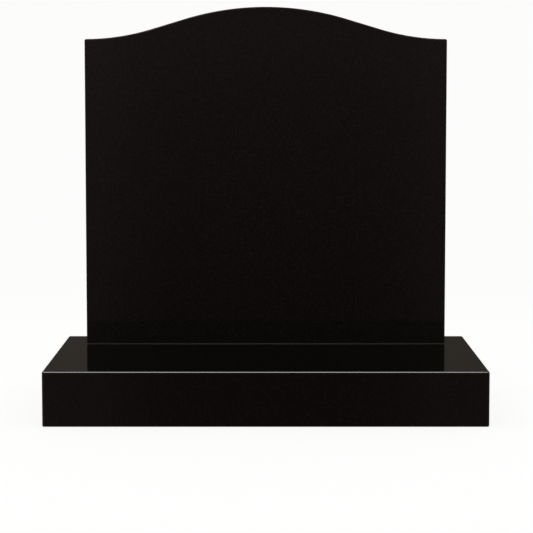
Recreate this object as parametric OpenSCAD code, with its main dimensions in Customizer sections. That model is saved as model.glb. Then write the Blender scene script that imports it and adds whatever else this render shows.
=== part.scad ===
// Upright headstone: a slab with a serpentine top that stands along the back of a low
// rectangular base. Both stones are polished, and every edge has a small flat arris.
// Millimetres. The origin is at the middle of the underside, the face looks to -Y, up is +Z.

/* [Tablet] */
// Width of the tablet, side to side
tablet_w = 538; // [420:1:700]
// Height of the tablet from its foot to the top of its crown
tablet_h = 504; // [350:1:900]
// Thickness of the tablet, front to back
tablet_t = 75; // [50:1:120]

/* [Serpentine top] */
// Height of the crown above the shoulders
crown_rise = 47.5; // [25:0.5:80]
// Length of the straight slope between the crown's arc and the shoulder's arc
slope_l = 52; // [10:1:90]
// Radius of the crown's arc divided by the radius of the shoulder's hollow arc
crown_to_hollow = 1.2; // [0.7:0.05:1.6]

/* [Base] */
// Height of the base
base_h = 76; // [50:1:150]
// Ledge of the base in front of the tablet
front_ledge = 230; // [60:5:320]
// Ledge of the base at each side of the tablet
side_ledge = 36; // [10:1:100]
// Ledge of the base behind the tablet; at 0 the two backs are flush
back_ledge = 0; // [0:5:100]

/* [Edges] */
// Width of the arris, measured along each of the two faces that it joins
arris = 1.5; // [1:0.5:5]

/* [Hidden] */
$fn = 180;

granite = [0.11, 0.10, 0.09];

// The base takes its plan from the tablet and the ledges round it.
base_w = tablet_w + 2 * side_ledge;
base_d = front_ledge + tablet_t + back_ledge;

// The top is one convex arc over the crown, a straight slope that both arcs touch, and a
// hollow arc that runs out level at the side. All of it follows from the half width, the
// rise and the length of the slope.
half_w = tablet_w / 2;
shoulder_h = tablet_h - crown_rise;
radii_sum = (half_w * half_w + crown_rise * crown_rise - slope_l * slope_l) / (2 * crown_rise);
hollow_r = radii_sum / (1 + crown_to_hollow);
crown_r = radii_sum - hollow_r;
slope_angle = atan2(half_w, radii_sum - crown_rise) - atan2(slope_l, radii_sum);
slope_top = [0, tablet_h - crown_r] + crown_r * [sin(slope_angle), cos(slope_angle)];
slope_foot = slope_top + slope_l * [cos(slope_angle), -sin(slope_angle)];

// Cutters run this far past the faces that they cut.
past = 3;
// Cutters that follow on from one another share this much of their length.
lap = 2;

// Puts a shape at the centre of the crown's arc, which is reached from the top of the crown
// so that the arc ends exactly there.
module at_crown_centre() {
    translate([0, tablet_h]) translate([0, -crown_r]) children();
}

// Puts a shape at the centre of the right hollow arc, which is reached from the shoulder so
// that the arc runs out exactly level with it.
module at_hollow_centre() {
    translate([half_w, shoulder_h]) translate([0, hollow_r]) children();
}

// One half of a shape, and its mirror image in the middle plane.
module both_sides() {
    children();
    mirror([1, 0, 0]) children();
}

// Rectangle with its middle at the origin and each corner cut off by the arris.
module cut_rectangle(size) {
    a = size / 2;
    b = a - [arris, arris];
    polygon([
        [b[0], -a[1]], [a[0], -b[1]], [a[0], b[1]], [b[0], a[1]],
        [-b[0], a[1]], [-a[0], b[1]], [-a[0], -b[1]], [-b[0], -a[1]],
    ]);
}

// Block with its middle at the origin and an arris along all twelve edges.
module arrised_block(size) {
    intersection() {
        linear_extrude(size[2], center = true) cut_rectangle([size[0], size[1]]);
        rotate([90, 0, 0])
            linear_extrude(size[1], center = true) cut_rectangle([size[0], size[2]]);
        rotate([90, 0, 90])
            linear_extrude(size[0], center = true) cut_rectangle([size[1], size[2]]);
    }
}

// Front view of the tablet. The corner where each side meets the shoulder is cut off too.
module tablet_outline() {
    difference() {
        union() {
            polygon([
                [-half_w, 0], [half_w, 0], [half_w, shoulder_h], slope_foot, slope_top,
                [-slope_top[0], slope_top[1]], [-slope_foot[0], slope_foot[1]],
                [-half_w, shoulder_h],
            ]);
            intersection() {
                at_crown_centre() circle(crown_r);
                translate([-slope_top[0], slope_top[1]])
                    square([2 * slope_top[0], crown_rise]);
            }
        }
        both_sides() {
            at_hollow_centre() circle(hollow_r);
            translate([half_w, shoulder_h - arris]) rotate(45) square(2 * past);
        }
    }
}

// Section of the cutter that takes the arris off an edge at the origin, where the stone
// lies to the left of the edge and below it.
module arris_section() {
    polygon([[-arris - past, past], [past, -arris - past], [past, past]]);
}

// The cutters that follow the serpentine edge of the front face, which lies at z = 0. Each
// laps the one above it, where its own path leaves the stone and so takes no more off.
module top_edge_cutter() {
    hollow_lap = lap / hollow_r * 180 / PI;
    at_crown_centre()
        rotate_extrude(angle = 2 * slope_angle, start = 90 - slope_angle)
            translate([crown_r, 0]) arris_section();
    both_sides() {
        translate(slope_top)
            rotate(-slope_angle)
                translate([-lap, 0])
                    rotate([90, 0, 90]) linear_extrude(lap + slope_l) arris_section();
        at_hollow_centre()
            rotate_extrude(
                angle = slope_angle + 2 * hollow_lap,
                start = 270 - slope_angle - hollow_lap
            )
                translate([hollow_r, 0]) mirror([1, 0]) arris_section();
    }
}

// The upright stone, drawn lying on its back and then stood up behind the front ledge.
module tablet() {
    color(granite)
        translate([0, base_d / 2 - back_ledge, base_h])
            rotate([90, 0, 0])
                difference() {
                    intersection() {
                        linear_extrude(tablet_t) tablet_outline();
                        translate([0, tablet_h, tablet_t / 2])
                            arrised_block([tablet_w, 2 * tablet_h, tablet_t]);
                    }
                    translate([0, 0, tablet_t]) top_edge_cutter();
                    mirror([0, 0, 1]) top_edge_cutter();
                }
}

// The block that carries the tablet.
module base() {
    color(granite)
        translate([0, 0, base_h / 2]) arrised_block([base_w, base_d, base_h]);
}

tablet();
base();
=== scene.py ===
"""A polished black granite headstone: a serpentine-topped tablet on a low base.

Everything is in metres, in the CAD frame: +X right, the face looks to -Y, +Z up.
"""
import math

import bpy
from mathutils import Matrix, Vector


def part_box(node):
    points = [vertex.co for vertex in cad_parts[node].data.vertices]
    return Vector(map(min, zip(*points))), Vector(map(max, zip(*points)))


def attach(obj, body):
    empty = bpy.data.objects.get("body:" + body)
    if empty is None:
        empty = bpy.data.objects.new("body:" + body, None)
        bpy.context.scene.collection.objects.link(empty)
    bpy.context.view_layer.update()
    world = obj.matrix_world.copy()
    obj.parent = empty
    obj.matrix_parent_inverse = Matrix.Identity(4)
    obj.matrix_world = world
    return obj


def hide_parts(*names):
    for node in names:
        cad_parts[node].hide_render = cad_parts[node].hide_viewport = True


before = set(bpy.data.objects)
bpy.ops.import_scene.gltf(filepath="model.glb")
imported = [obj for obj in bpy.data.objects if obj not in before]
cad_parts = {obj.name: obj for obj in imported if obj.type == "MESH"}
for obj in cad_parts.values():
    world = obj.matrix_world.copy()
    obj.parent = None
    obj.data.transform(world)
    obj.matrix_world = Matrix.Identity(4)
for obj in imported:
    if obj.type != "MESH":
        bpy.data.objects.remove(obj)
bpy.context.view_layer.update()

X_AXIS = Vector((1, 0, 0))
Y_AXIS = Vector((0, 1, 0))
Z_AXIS = Vector((0, 0, 1))

# Angles in an outline, which is drawn with its second axis upwards.
RIGHTWARDS = 0.0
UPWARDS = math.radians(90)
DOWNWARDS = math.radians(-90)

# The serpentine top, as in the CAD model.
CROWN_RISE = 0.0475
SLOPE_LENGTH = 0.052
CROWN_TO_HOLLOW = 1.2

# Every edge has a flat arris that is rubbed round where it meets the faces, and each corner
# of a stone's outline is eased round.
ARRIS = 0.0015
ARRIS_ROUND = 0.0006
CORNER_RADIUS = 0.0025

# How many straight lines each arc is drawn with. The crown's are those of its right half.
ROUND_STEPS = 4
CORNER_STEPS = 8
CROWN_STEPS = 48
HOLLOW_STEPS = 40

# The camera stands in front of the base and looks down on it a little.
CAMERA_DISTANCE = 2.143
CAMERA_HEIGHT = 0.472
CAMERA_PITCH = math.radians(4.211)
SENSOR_WIDTH = 36
LENS = 107.6
SHIFT_X = 0.0014
SHIFT_Y = -0.13

# The crystals of the granite: how many lie side by side in a metre, and how pale they are,
# from the darkest to the palest. The palest of all differ from stone to stone, and so does
# the place in the block that the stone is cut from.
STONE_TINT = (1.0, 0.86, 0.62)
CRYSTAL_SCALE = 1500.0
CRYSTAL_LEVELS = ((0.0, 0.0010), (0.60, 0.0026), (0.86, 0.0080))
TABLET_SPARKLE = 0.052
TABLET_OFFSET = (0.37, 0.11, 0.53)
BASE_SPARKLE = 0.033
BASE_OFFSET = (0.0, 0.0, 0.0)

# The paler flecks. A cell of their pattern holds one where its random number is over
# FLECK_NUMBER, and the fleck reaches FLECK_REACH of a cell from the cell's point.
FLECK_SCALE = 260.0
FLECK_COLOUR = (0.030, 0.024, 0.018, 1)
FLECK_NUMBER = 0.93
FLECK_REACH = 0.28

# The polish, and what clouds, crystals and flecks add to its roughness.
POLISH_ROUGHNESS = 0.045
CLOUD_SCALE = 14.0
CLOUD_ROUGHNESS = 0.03
CRYSTAL_ROUGHNESS = 0.02
FLECK_ROUGHNESS = 0.08
GRANITE_IOR = 1.55
CRYSTAL_RELIEF = 0.35
BUMP_STRENGTH = 0.02
BUMP_DISTANCE = 0.0002

# Undersides, where the normal's Z is below this, are left as sawn.
UNDERSIDE_NORMAL = -0.9
SAW_SCALE = 120.0
SAWN_DARK = (0.030, 0.028, 0.027, 1)
SAWN_PALE = (0.150, 0.144, 0.137, 1)
SAWN_ROUGHNESS = 0.75

# The painted highlight along the tablet's foot: a pale band on the lower part of the foot's
# arris.
FOOT_HIGHLIGHT_RISE = 0.001
FOOT_HIGHLIGHT_COLOUR = (0.60, 0.54, 0.48, 1)
FOOT_HIGHLIGHT_ROUGHNESS = 0.7

# The floor takes shadows near the stone, and is even by the time it meets the world.
PALE = (0.97, 0.97, 0.965, 1)
WHITE = (1, 1, 1, 1)
FLOOR_RADIUS = 30
FLOOR_SIDES = 96
FLOOR_COLOUR = (0.8, 0.8, 0.8, 1)
FLOOR_GLOW = 0.87
EVEN_FROM = 0.45
EVEN_BY = 1.5

# The soft light from all round, which alone lights the colours of the stone and the floor.
FILL = 0.2

# A strip light over the front edge of the base. Only the polish shows it.
STRIP_PLACE = (-0.115, -0.425, 1.6)
STRIP_SIZE = (1.27, 0.2)
STRIP_RADIANCE = 6.0

# The room that the polish mirrors: its tints, and pairs of a place and how bright it is
# there. Places run from 0 straight down to 1 straight up, and for the sides from 0 in the
# middle plane to 1 straight out.
LOW_TINT = (1.0, 0.73, 0.72)
SIDE_TINT = (1.0, 0.84, 0.81)
ROOM_TINT = (1.0, 0.87, 0.75)
OVERHEAD_LEVELS = ((0.78, 0.12), (0.84, 0.80), (0.93, 0.80), (0.97, 0.28), (1.0, 0.28))
FRONT_LOW_LEVELS = (
    (0.0, 0.04), (0.25, 0.10), (0.40, 0.067), (0.43, 0.068), (0.49, 0.112), (0.515, 0.150),
)
FRONT_HIGH_LEVELS = ((0.585, 0.120),) + OVERHEAD_LEVELS
BACK_LEVELS = (
    (0.0, 0.04), (0.25, 0.14), (0.38, 0.16), (0.425, 0.02), (0.455, 0.02), (0.50, 0.14),
    (0.57, 0.0635),
) + OVERHEAD_LEVELS
SIDE_LEVELS = (
    (0.055, 0.0), (0.09, 0.017), (0.105, 0.046), (0.12, 0.032), (0.135, 0.050),
    (0.5, 0.18), (0.75, 0.28), (1.0, 0.12),
)
# How fast the front of the room gives way to its back, going round.
ROOM_TURN = 1.2
# The room is brighter at the left, and fades to the right over directions whose X lies
# within FADE_REACH of the middle plane.
ROOM_LEFT = 1.15
ROOM_RIGHT = 0.85
FADE_REACH = 0.3


# ---------------------------------------------------------------- outlines

def arc(centre, radius, start, end, steps, hollow=False):
    """Pairs of a point and its outward normal. The stone lies outside a hollow arc."""
    side = -1 if hollow else 1
    pairs = []
    for i in range(steps + 1):
        angle = start + (end - start) * i / steps
        ray = Vector((math.cos(angle), math.sin(angle)))
        pairs.append((centre + ray * radius, ray * side))
    return pairs


def mirrored(half):
    """A run from left to right, from its right half, which starts on the middle line."""
    flip = [(Vector((-p.x, p.y)), Vector((-n.x, n.y))) for p, n in reversed(half)]
    return flip[:-1] + half


def tablet_runs(width, height):
    """The upper and lower runs of the tablet's front view, with as many points each."""
    half_w = width / 2
    radii_sum = (half_w**2 + CROWN_RISE**2 - SLOPE_LENGTH**2) / (2 * CROWN_RISE)
    hollow_r = radii_sum / (1 + CROWN_TO_HOLLOW)
    crown_r = radii_sum - hollow_r
    slope = math.atan2(half_w, radii_sum - CROWN_RISE) - math.atan2(SLOPE_LENGTH, radii_sum)
    crown_centre = Vector((0, height - crown_r))
    hollow_centre = Vector((half_w, height - CROWN_RISE + hollow_r))

    # The corner's arc touches the side of the tablet and the hollow arc.
    reach = hollow_r + CORNER_RADIUS
    lean = math.asin(CORNER_RADIUS / reach)
    corner_centre = hollow_centre - reach * Vector((math.sin(lean), math.cos(lean)))
    crown = arc(crown_centre, crown_r, UPWARDS, UPWARDS - slope, CROWN_STEPS)
    hollow = arc(
        hollow_centre, hollow_r, DOWNWARDS - slope, DOWNWARDS - lean, HOLLOW_STEPS, hollow=True,
    )
    corner = arc(corner_centre, CORNER_RADIUS, UPWARDS - lean, RIGHTWARDS, CORNER_STEPS)
    upper = crown + hollow + corner[1:]

    foot = [(Vector((p.x, 0)), Vector((0, -1))) for p, _ in (crown + hollow)[:-1]]
    foot_centre = Vector((half_w - CORNER_RADIUS, CORNER_RADIUS))
    foot_corner = arc(foot_centre, CORNER_RADIUS, DOWNWARDS, RIGHTWARDS, CORNER_STEPS)
    return mirrored(upper), mirrored(foot + foot_corner)


def base_runs(width, depth):
    """The back and front runs of the base's plan."""
    x = width / 2 - CORNER_RADIUS
    y = depth / 2 - CORNER_RADIUS
    back = arc(Vector((x, y)), CORNER_RADIUS, UPWARDS, RIGHTWARDS, CORNER_STEPS)
    front = arc(Vector((x, -y)), CORNER_RADIUS, DOWNWARDS, RIGHTWARDS, CORNER_STEPS)
    backwards = Vector((0, 1))
    return (
        mirrored([(Vector((0, depth / 2)), backwards)] + back),
        mirrored([(Vector((0, -depth / 2)), -backwards)] + front),
    )


# ---------------------------------------------------------------- meshes

def arris_profile():
    """Steps across an edge: how far in from the outline, how deep, and the normal's tilt.

    The tilt falls from 90 degrees on the face to 45 on the arris and to 0 on the side.
    """
    r = ARRIS_ROUND
    on_face = math.radians(90)
    on_arris = math.radians(45)
    near_face = []
    near_side = []
    for i in range(ROUND_STEPS + 1):
        tilt = on_face - on_arris * i / ROUND_STEPS
        near_face.append((ARRIS - r * math.cos(tilt), r - r * math.sin(tilt), tilt))
        tilt -= on_arris
        near_side.append((r - r * math.cos(tilt), ARRIS - r * math.sin(tilt), tilt))
    return near_face + near_side


def slab(name, upper, lower, thickness, origin, across, along, inwards):
    """A closed slab with an arris round both faces, and the true normal at every point.

    The outline is drawn across and along from the origin, which lies in the first face, and
    the second face lies inwards from it.
    """
    loop = upper + lower[::-1]
    count = len(loop)
    profile = arris_profile()
    rings = profile + [(inset, thickness - deep, -tilt) for inset, deep, tilt in profile[::-1]]
    points = []
    normals = []
    for inset, deep, tilt in rings:
        for point, normal in loop:
            flat = point - normal * inset
            points.append(origin + across * flat.x + along * flat.y + inwards * deep)
            outwards = across * normal.x + along * normal.y
            normals.append(outwards * math.cos(tilt) - inwards * math.sin(tilt))

    faces = []
    last = (len(rings) - 1) * count
    for i in range(len(upper) - 1):
        low = count - 1 - i
        low_next = low - 1
        faces.append((i, low, low_next, i + 1))
        faces.append((last + i + 1, last + low_next, last + low, last + i))
    for ring in range(len(rings) - 1):
        start = ring * count
        for i in range(count):
            after = (i + 1) % count
            faces.append((start + i, start + after, start + count + after, start + count + i))

    mesh = bpy.data.meshes.new(name)
    mesh.from_pydata(points, [], faces)
    mesh.polygons.foreach_set("use_smooth", [True] * len(faces))
    mesh.normals_split_custom_set_from_vertices([n.normalized() for n in normals])
    mesh.update()
    piece = bpy.data.objects.new(name, mesh)
    bpy.context.scene.collection.objects.link(piece)
    return piece


def make_tablet():
    """The tablet, from its front view, which is drawn upwards from the foot."""
    low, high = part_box("tablet")
    upper, lower = tablet_runs(high.x - low.x, high.z - low.z)
    origin = Vector(((low.x + high.x) / 2, low.y, low.z))
    thickness = high.y - low.y
    return slab("tablet_stone", upper, lower, thickness, origin, X_AXIS, Z_AXIS, Y_AXIS)


def make_base():
    """The base, from its plan, which is drawn round the middle of its top."""
    low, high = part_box("base")
    upper, lower = base_runs(high.x - low.x, high.y - low.y)
    origin = Vector(((low.x + high.x) / 2, (low.y + high.y) / 2, high.z))
    thickness = high.z - low.z
    return slab("base_stone", upper, lower, thickness, origin, X_AXIS, Y_AXIS, -Z_AXIS)


# ---------------------------------------------------------------- materials

def tinted(tint, level):
    """A tint, darkened or lit to a level."""
    return tuple(level * part for part in tint) + (1,)


def grey(level):
    """A colour that stands for a plain number where colours are mixed."""
    return (level, level, level, 1)


def stops(tint, levels):
    """Colour ramp stops of one tint, from pairs of a place and a level."""
    return [(place, tinted(tint, level)) for place, level in levels]


class Tree:
    """A short way to write a node tree."""

    # The colour mix has its sockets among those for other kinds of data.
    MIX_INPUTS = (0, 6, 7)
    MIX_RESULT = 2

    def __init__(self, tree):
        self.tree = tree
        tree.nodes.clear()

    def node(self, kind, inputs=None, **settings):
        """A new node, with each input linked to the socket or set to the value given."""
        node = self.tree.nodes.new(kind)
        for key, value in settings.items():
            setattr(node, key, value)
        for key, value in (inputs or {}).items():
            if isinstance(value, bpy.types.NodeSocket):
                self.tree.links.new(value, node.inputs[key])
            else:
                node.inputs[key].default_value = value
        return node

    def calc(self, operation, *values, clamp=False):
        """The result of a calculation with numbers and sockets."""
        node = self.node("ShaderNodeMath", dict(enumerate(values)), operation=operation)
        node.use_clamp = clamp
        return node.outputs[0]

    def ramp(self, factor, ramp_stops):
        """The colour at a factor, blended evenly between stops of a place and a colour."""
        node = self.node("ShaderNodeValToRGB", {"Fac": factor})
        elements = node.color_ramp.elements
        while len(elements) < len(ramp_stops):
            elements.new(1)
        for element, (place, colour) in zip(elements, ramp_stops):
            element.position = place
            element.color = colour
        return node.outputs["Color"]

    def mix(self, factor, first, second):
        """A blend of two colours, which is all the second where the factor is 1."""
        inputs = dict(zip(self.MIX_INPUTS, (factor, first, second)))
        node = self.node("ShaderNodeMix", inputs, data_type="RGBA")
        return node.outputs[self.MIX_RESULT]


def granite(name, offset, sparkle, foot=None):
    """Polished black granite: dark interlocked crystals, the palest as pale as sparkle.

    Where the height of the stone's foot is given, a painted highlight runs along it as a pale
    band.
    """
    material = bpy.data.materials.new(name)
    material.use_nodes = True
    t = Tree(material.node_tree)
    coords = t.node("ShaderNodeTexCoord")
    mapping = {"Vector": coords.outputs["Object"], "Location": offset}
    place = t.node("ShaderNodeMapping", mapping).outputs[0]

    crystals = t.node("ShaderNodeTexVoronoi", {"Vector": place, "Scale": CRYSTAL_SCALE})
    tone = t.node("ShaderNodeSeparateColor", {"Color": crystals.outputs["Color"]})
    levels = CRYSTAL_LEVELS + ((1.0, sparkle),)
    colour = t.ramp(tone.outputs["Red"], stops(STONE_TINT, levels))

    flecks = t.node("ShaderNodeTexVoronoi", {"Vector": place, "Scale": FLECK_SCALE})
    number = t.node("ShaderNodeSeparateColor", {"Color": flecks.outputs["Color"]})
    chosen = t.calc("GREATER_THAN", number.outputs["Green"], FLECK_NUMBER)
    near = t.calc("LESS_THAN", flecks.outputs["Distance"], FLECK_REACH)
    fleck = t.calc("MULTIPLY", chosen, near)
    colour = t.mix(fleck, colour, FLECK_COLOUR)

    cloud = t.node("ShaderNodeTexNoise", {
        "Vector": place, "Scale": CLOUD_SCALE, "Detail": 3.0,
    }).outputs["Fac"]
    rough = t.calc("MULTIPLY_ADD", cloud, CLOUD_ROUGHNESS, POLISH_ROUGHNESS)
    rough = t.calc("MULTIPLY_ADD", tone.outputs["Green"], CRYSTAL_ROUGHNESS, rough)
    rough = t.calc("MULTIPLY_ADD", fleck, FLECK_ROUGHNESS, rough)

    # No one sees the undersides, which are left as the saw cut them.
    facing = t.node("ShaderNodeSeparateXYZ", {"Vector": coords.outputs["Normal"]})
    sawn = t.calc("LESS_THAN", facing.outputs["Z"], UNDERSIDE_NORMAL)
    saw_lines = t.node("ShaderNodeTexWave", {
        "Vector": place, "Scale": SAW_SCALE, "Distortion": 1.5, "Detail": 3.0,
        "Detail Scale": 0.6,
    }, bands_direction="Y").outputs["Fac"]
    streaks = t.calc("MULTIPLY", saw_lines, cloud)
    colour = t.mix(sawn, colour, t.mix(streaks, SAWN_DARK, SAWN_PALE))
    rough = t.mix(sawn, rough, grey(SAWN_ROUGHNESS))

    # A painted highlight: the lower part of the foot's arris is coloured pale and made rough.
    if foot is not None:
        level = t.node("ShaderNodeSeparateXYZ", {"Vector": coords.outputs["Object"]})
        painted_foot_highlight = t.calc("LESS_THAN", level.outputs["Z"], foot + FOOT_HIGHLIGHT_RISE)
        colour = t.mix(painted_foot_highlight, colour, FOOT_HIGHLIGHT_COLOUR)
        rough = t.mix(painted_foot_highlight, rough, grey(FOOT_HIGHLIGHT_ROUGHNESS))

    grain = t.calc("MULTIPLY", crystals.outputs["Distance"], CRYSTAL_RELIEF)
    bump = t.node("ShaderNodeBump", {
        "Height": t.mix(sawn, grain, saw_lines),
        "Strength": BUMP_STRENGTH,
        "Distance": BUMP_DISTANCE,
    })
    shader = t.node("ShaderNodeBsdfPrincipled", {
        "Base Color": colour,
        "Roughness": rough,
        "IOR": GRANITE_IOR,
        "Normal": bump.outputs[0],
    })
    t.node("ShaderNodeOutputMaterial", {"Surface": shader.outputs[0]})
    return material


# ---------------------------------------------------------------- studio

def make_floor():
    """A pale floor, lit near the stone and even further out, where it meets the world."""
    bpy.ops.mesh.primitive_circle_add(
        vertices=FLOOR_SIDES, radius=FLOOR_RADIUS, fill_type="NGON",
    )
    floor = bpy.context.object
    floor.name = "floor"
    floor.visible_glossy = False
    floor.visible_diffuse = False
    material = bpy.data.materials.new("pale_floor")
    material.use_nodes = True
    t = Tree(material.node_tree)
    coords = t.node("ShaderNodeTexCoord")
    distance = t.node("ShaderNodeVectorMath", {0: coords.outputs["Object"]}, operation="LENGTH")
    far = t.node("ShaderNodeMapRange", {
        "Value": distance.outputs["Value"], "From Min": EVEN_FROM, "From Max": EVEN_BY,
    }, interpolation_type="SMOOTHSTEP")
    lit = t.node("ShaderNodeBsdfDiffuse", {"Color": FLOOR_COLOUR})
    glow = t.node("ShaderNodeEmission", {"Color": PALE, "Strength": FLOOR_GLOW})
    near = t.node("ShaderNodeAddShader", {0: lit.outputs[0], 1: glow.outputs[0]})
    even = t.node("ShaderNodeEmission", {"Color": PALE, "Strength": 1.0})
    both = t.node("ShaderNodeMixShader", {
        0: far.outputs[0], 1: near.outputs[0], 2: even.outputs[0],
    })
    t.node("ShaderNodeOutputMaterial", {"Surface": both.outputs[0]})
    floor.data.materials.append(material)


def make_strip():
    """An area light that faces straight down, with its radiance given and not its power."""
    width, depth = STRIP_SIZE
    data = bpy.data.lights.new("front_strip", "AREA")
    data.shape = "RECTANGLE"
    data.size = width
    data.size_y = depth
    data.energy = STRIP_RADIANCE * math.pi * width * depth
    light = bpy.data.objects.new("front_strip", data)
    light.location = STRIP_PLACE
    light.visible_camera = False
    light.visible_diffuse = False
    bpy.context.scene.collection.objects.link(light)


def make_room(t):
    """What the polish mirrors, by direction: a warm dim room, a little brighter to the left."""
    coords = t.node("ShaderNodeTexCoord")
    way = t.node("ShaderNodeSeparateXYZ", {"Vector": coords.outputs["Generated"]})
    # The ramps take numbers from 0 to 1, and the parts of a direction run from -1 to 1.
    height = t.calc("MULTIPLY_ADD", way.outputs["Z"], 0.5, 0.5)
    aside = t.calc("ABSOLUTE", way.outputs["X"])
    behind = t.calc("MULTIPLY_ADD", way.outputs["Y"], ROOM_TURN, 0.5, clamp=True)

    low_stops = stops(LOW_TINT, FRONT_LOW_LEVELS)
    front = t.ramp(height, low_stops + stops(ROOM_TINT, FRONT_HIGH_LEVELS))
    sides = t.ramp(aside, stops(SIDE_TINT, SIDE_LEVELS))
    front = t.node("ShaderNodeVectorMath", {0: front, 1: sides}, operation="ADD").outputs[0]
    back = t.ramp(height, stops(ROOM_TINT, BACK_LEVELS))
    fade = t.node("ShaderNodeMapRange", {
        "Value": way.outputs["X"],
        "From Min": -FADE_REACH,
        "From Max": FADE_REACH,
        "To Min": ROOM_LEFT,
        "To Max": ROOM_RIGHT,
    })
    return t.node("ShaderNodeVectorMath", {
        0: t.mix(behind, front, back), "Scale": fade.outputs[0],
    }, operation="SCALE").outputs[0]


def make_world():
    """Pale to the camera; a dim room to the polished stone; a soft fill to everything else."""
    world = bpy.data.worlds.new("studio")
    world.use_nodes = True
    bpy.context.scene.world = world
    t = Tree(world.node_tree)
    path = t.node("ShaderNodeLightPath")
    seen = t.node("ShaderNodeBackground", {"Color": PALE, "Strength": 1.0})
    dim = t.node("ShaderNodeBackground", {"Color": make_room(t), "Strength": 1.0})
    fill = t.node("ShaderNodeBackground", {"Color": WHITE, "Strength": FILL})
    other = t.node("ShaderNodeMixShader", {
        0: path.outputs["Is Glossy Ray"], 1: fill.outputs[0], 2: dim.outputs[0],
    })
    both = t.node("ShaderNodeMixShader", {
        0: path.outputs["Is Camera Ray"], 1: other.outputs[0], 2: seen.outputs[0],
    })
    t.node("ShaderNodeOutputWorld", {"Surface": both.outputs[0]})


def make_camera():
    """The camera, in front of the middle of the base."""
    low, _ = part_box("base")
    data = bpy.data.cameras.new("camera")
    data.lens = LENS
    data.sensor_width = SENSOR_WIDTH
    data.shift_x = SHIFT_X
    data.shift_y = SHIFT_Y
    camera = bpy.data.objects.new("camera", data)
    camera.location = (0, low.y - CAMERA_DISTANCE, CAMERA_HEIGHT)
    camera.rotation_euler = (math.radians(90) - CAMERA_PITCH, 0, 0)
    bpy.context.scene.collection.objects.link(camera)
    bpy.context.scene.camera = camera


make_camera()
tablet = make_tablet()
base = make_base()
foot_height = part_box("tablet")[0].z
for piece, node, offset, sparkle, foot in (
    (tablet, "tablet", TABLET_OFFSET, TABLET_SPARKLE, foot_height),
    (base, "base", BASE_OFFSET, BASE_SPARKLE, None),
):
    piece.data.materials.append(granite("black_granite_" + node, offset, sparkle, foot))
    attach(piece, "root")
    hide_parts(node)

make_floor()
make_world()
make_strip()
bpy.context.scene.view_settings.view_transform = "Standard"
